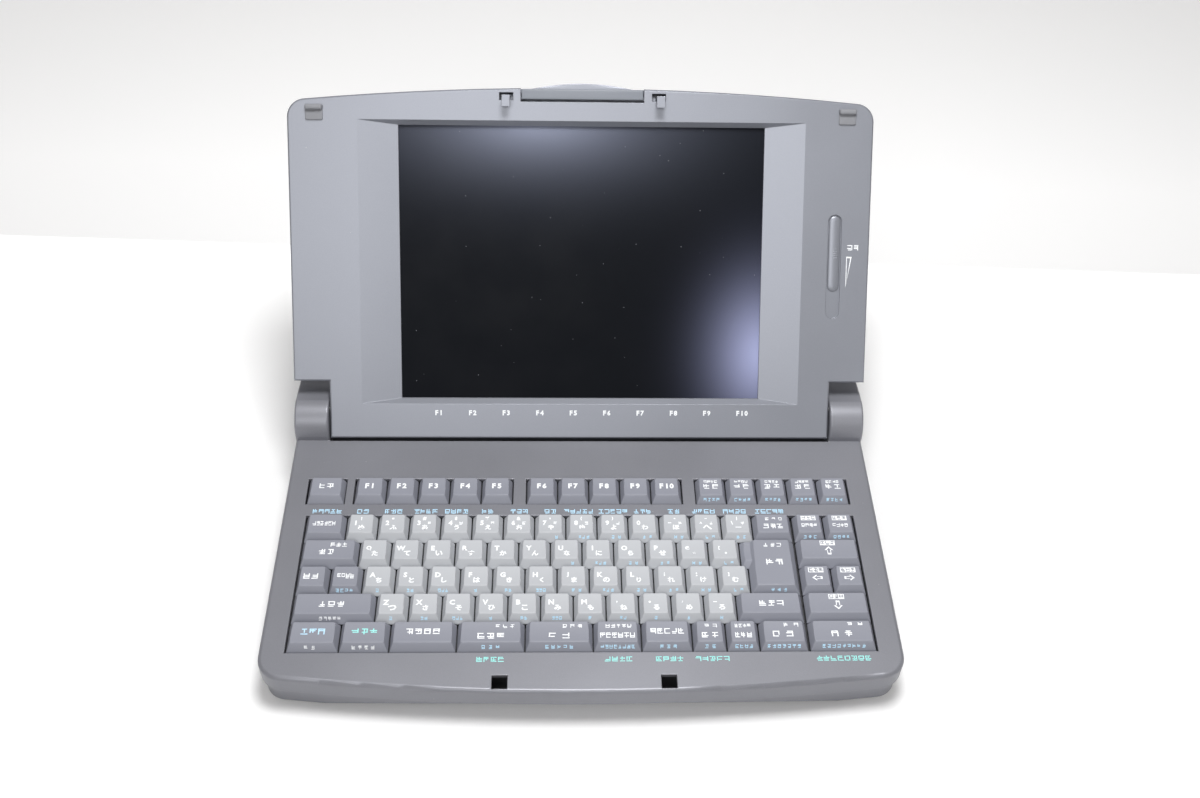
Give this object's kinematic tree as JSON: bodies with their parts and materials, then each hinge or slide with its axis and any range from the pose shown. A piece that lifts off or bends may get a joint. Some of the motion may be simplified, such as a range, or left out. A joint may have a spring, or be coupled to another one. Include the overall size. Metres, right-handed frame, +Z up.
{
  "type": "electronic word processor",
  "caption": "Portable electronic word processor: keyboard base with floppy drive and built-in printer, and a hinged screen lid with a sliding latch.",
  "frame": {"origin": "on the table, under the middle of the object's box with the lid open as pictured", "axes": "+Z up, +X to the typist's right along the case's width, -Y towards the typist"},
  "size_m": [0.32, 0.2822, 0.1974],
  "materials": {
    "case_grey": "semi-matte dark blue-grey moulding",
    "lid_grey": "semi-matte dark blue-grey moulding",
    "key_dark": "satin dark grey key",
    "key_light": "satin light grey key",
    "rubber": "matt black rubber",
    "steel": "plated steel",
    "circuit": "green circuit board",
    "screen": "dark display glass",
    "black_plastic": "matt black plastic",
    "dome_rubber": "translucent grey silicone",
    "bumper": "soft grey rubber"
  },
  "bodies": {
    "base": {"lower_case": "case_grey", "upper_case": "case_grey", "rubber_feet": "rubber", "case_screws": "steel", "key_frame": "black_plastic", "dome_sheet": "dome_rubber", "keyboard_plate": "steel", "main_board": "circuit", "power_inlet": "black_plastic", "floppy_drive": "steel", "hinge_brackets": "steel", "printer_chassis": "steel", "carriage_rail": "steel", "carriage_motor": "steel", "carriage_belt": "rubber", "feed_gearbox": "black_plastic"},
    "lid": {"lid_cover": "lid_grey", "lid_bezel": "lid_grey", "lcd_panel": "screen", "backlight_inverter": "circuit", "hinge_pins": "steel", "lid_bumpers": "bumper"},
    "latch": {"latch_grip": "lid_grey", "latch_hooks": "lid_grey"},
    "contrast_slider": {"contrast_slider": "lid_grey"},
    "printer_cover": {"printer_cover": "case_grey"},
    "platen": {"platen_roller": "rubber", "platen_knob": "black_plastic"},
    "carriage": {"print_carriage": "black_plastic", "ribbon_cassette": "black_plastic"},
    "power_switch": {"power_switch": "key_dark"},
    "floppy_eject_button": {"floppy_eject_button": "key_dark"},
    "exit_key": {"exit_key": "key_dark"},
    "function_keys": {"function_keys": "key_dark"},
    "edit_keys": {"edit_keys": "key_dark"},
    "preset_key": {"preset_key": "key_dark"},
    "number_keys": {"number_keys": "key_light"},
    "backspace_key": {"backspace_key": "key_dark"},
    "page_keys": {"page_keys": "key_dark"},
    "tab_key": {"tab_key": "key_dark"},
    "upper_letter_keys": {"upper_letter_keys": "key_light"},
    "up_key": {"up_key": "key_dark"},
    "mode_keys": {"mode_keys": "key_dark"},
    "home_letter_keys": {"home_letter_keys": "key_light"},
    "left_key": {"left_key": "key_dark"},
    "right_key": {"right_key": "key_dark"},
    "left_shift_key": {"left_shift_key": "key_dark"},
    "lower_letter_keys": {"lower_letter_keys": "key_light"},
    "right_shift_key": {"right_shift_key": "key_dark"},
    "down_key": {"down_key": "key_dark"},
    "symbol_keys": {"symbol_keys": "key_dark"},
    "space_key": {"space_key": "key_dark"},
    "no_convert_key": {"no_convert_key": "key_dark"},
    "convert_key": {"convert_key": "key_dark"},
    "kana_convert_key": {"kana_convert_key": "key_dark"},
    "kana_alpha_key": {"kana_alpha_key": "key_dark"},
    "command_keys": {"command_keys": "key_dark"},
    "cancel_key": {"cancel_key": "key_dark"},
    "run_key": {"run_key": "key_dark"},
    "return_key": {"return_key": "key_dark"}
  },
  "joints": [
    {"name": "lid_hinge", "type": "hinge", "parent": "base", "child": "lid", "pos_m": [0, 0.03333, 0.04737], "axis": [1, 0, 0], "range_deg": [-3, 128.76]},
    {"name": "latch_slide", "type": "slide", "parent": "lid", "child": "latch", "axis": [0, 0.5701, 0.8215], "range_m": [-0.0008, 0.0006], "stiffness_N_per_m": 400},
    {"name": "contrast_slide", "type": "slide", "parent": "lid", "child": "contrast_slider", "axis": [0, -0.5701, -0.8215], "range_m": [0, 0.015]},
    {"name": "printer_cover_hinge", "type": "hinge", "parent": "base", "child": "printer_cover", "pos_m": [0, 0.11449, 0.05795], "axis": [-1, 0, 0], "range_deg": [0, 75]},
    {"name": "platen_turn", "type": "hinge", "parent": "base", "child": "platen", "pos_m": [0, 0.07959, 0.04248], "axis": [1, 0, 0], "continuous": true},
    {"name": "carriage_slide", "type": "slide", "parent": "base", "child": "carriage", "axis": [1, 0, 0], "range_m": [0, 0.186]},
    {"name": "power_switch_slide", "type": "slide", "parent": "base", "child": "power_switch", "axis": [0, 0.9976, 0.0698], "range_m": [0, 0.0044]},
    {"name": "floppy_eject_press", "type": "slide", "parent": "base", "child": "floppy_eject_button", "axis": [-1, 0, 0], "range_m": [0, 0.003], "stiffness_N_per_m": 250},
    {"name": "exit_key_press", "type": "slide", "parent": "base", "child": "exit_key", "axis": [0, 0.0698, -0.9976], "range_m": [0, 0.003], "stiffness_N_per_m": 150},
    {"name": "function_keys_press", "type": "slide", "parent": "base", "child": "function_keys", "axis": [0, 0.0698, -0.9976], "range_m": [0, 0.003], "stiffness_N_per_m": 1500},
    {"name": "edit_keys_press", "type": "slide", "parent": "base", "child": "edit_keys", "axis": [0, 0.0698, -0.9976], "range_m": [0, 0.003], "stiffness_N_per_m": 750},
    {"name": "preset_key_press", "type": "slide", "parent": "base", "child": "preset_key", "axis": [0, 0.0698, -0.9976], "range_m": [0, 0.003], "stiffness_N_per_m": 150},
    {"name": "number_keys_press", "type": "slide", "parent": "base", "child": "number_keys", "axis": [0, 0.0698, -0.9976], "range_m": [0, 0.003], "stiffness_N_per_m": 1950},
    {"name": "backspace_key_press", "type": "slide", "parent": "base", "child": "backspace_key", "axis": [0, 0.0698, -0.9976], "range_m": [0, 0.003], "stiffness_N_per_m": 150},
    {"name": "page_keys_press", "type": "slide", "parent": "base", "child": "page_keys", "axis": [0, 0.0698, -0.9976], "range_m": [0, 0.003], "stiffness_N_per_m": 300},
    {"name": "tab_key_press", "type": "slide", "parent": "base", "child": "tab_key", "axis": [0, 0.0698, -0.9976], "range_m": [0, 0.003], "stiffness_N_per_m": 150},
    {"name": "upper_letter_keys_press", "type": "slide", "parent": "base", "child": "upper_letter_keys", "axis": [0, 0.0698, -0.9976], "range_m": [0, 0.003], "stiffness_N_per_m": 1800},
    {"name": "up_key_press", "type": "slide", "parent": "base", "child": "up_key", "axis": [0, 0.0698, -0.9976], "range_m": [0, 0.003], "stiffness_N_per_m": 150},
    {"name": "mode_keys_press", "type": "slide", "parent": "base", "child": "mode_keys", "axis": [0, 0.0698, -0.9976], "range_m": [0, 0.003], "stiffness_N_per_m": 300},
    {"name": "home_letter_keys_press", "type": "slide", "parent": "base", "child": "home_letter_keys", "axis": [0, 0.0698, -0.9976], "range_m": [0, 0.003], "stiffness_N_per_m": 1800},
    {"name": "left_key_press", "type": "slide", "parent": "base", "child": "left_key", "axis": [0, 0.0698, -0.9976], "range_m": [0, 0.003], "stiffness_N_per_m": 150},
    {"name": "right_key_press", "type": "slide", "parent": "base", "child": "right_key", "axis": [0, 0.0698, -0.9976], "range_m": [0, 0.003], "stiffness_N_per_m": 150},
    {"name": "left_shift_key_press", "type": "slide", "parent": "base", "child": "left_shift_key", "axis": [0, 0.0698, -0.9976], "range_m": [0, 0.003], "stiffness_N_per_m": 150},
    {"name": "lower_letter_keys_press", "type": "slide", "parent": "base", "child": "lower_letter_keys", "axis": [0, 0.0698, -0.9976], "range_m": [0, 0.003], "stiffness_N_per_m": 1650},
    {"name": "right_shift_key_press", "type": "slide", "parent": "base", "child": "right_shift_key", "axis": [0, 0.0698, -0.9976], "range_m": [0, 0.003], "stiffness_N_per_m": 150},
    {"name": "down_key_press", "type": "slide", "parent": "base", "child": "down_key", "axis": [0, 0.0698, -0.9976], "range_m": [0, 0.003], "stiffness_N_per_m": 150},
    {"name": "symbol_keys_press", "type": "slide", "parent": "base", "child": "symbol_keys", "axis": [0, 0.0698, -0.9976], "range_m": [0, 0.003], "stiffness_N_per_m": 300},
    {"name": "space_key_press", "type": "slide", "parent": "base", "child": "space_key", "axis": [0, 0.0698, -0.9976], "range_m": [0, 0.003], "stiffness_N_per_m": 150},
    {"name": "no_convert_key_press", "type": "slide", "parent": "base", "child": "no_convert_key", "axis": [0, 0.0698, -0.9976], "range_m": [0, 0.003], "stiffness_N_per_m": 150},
    {"name": "convert_key_press", "type": "slide", "parent": "base", "child": "convert_key", "axis": [0, 0.0698, -0.9976], "range_m": [0, 0.003], "stiffness_N_per_m": 150},
    {"name": "kana_convert_key_press", "type": "slide", "parent": "base", "child": "kana_convert_key", "axis": [0, 0.0698, -0.9976], "range_m": [0, 0.003], "stiffness_N_per_m": 150},
    {"name": "kana_alpha_key_press", "type": "slide", "parent": "base", "child": "kana_alpha_key", "axis": [0, 0.0698, -0.9976], "range_m": [0, 0.003], "stiffness_N_per_m": 150},
    {"name": "command_keys_press", "type": "slide", "parent": "base", "child": "command_keys", "axis": [0, 0.0698, -0.9976], "range_m": [0, 0.003], "stiffness_N_per_m": 300},
    {"name": "cancel_key_press", "type": "slide", "parent": "base", "child": "cancel_key", "axis": [0, 0.0698, -0.9976], "range_m": [0, 0.003], "stiffness_N_per_m": 150},
    {"name": "run_key_press", "type": "slide", "parent": "base", "child": "run_key", "axis": [0, 0.0698, -0.9976], "range_m": [0, 0.003], "stiffness_N_per_m": 150},
    {"name": "return_key_press", "type": "slide", "parent": "base", "child": "return_key", "axis": [0, 0.0698, -0.9976], "range_m": [0, 0.003], "stiffness_N_per_m": 150}
  ]
}
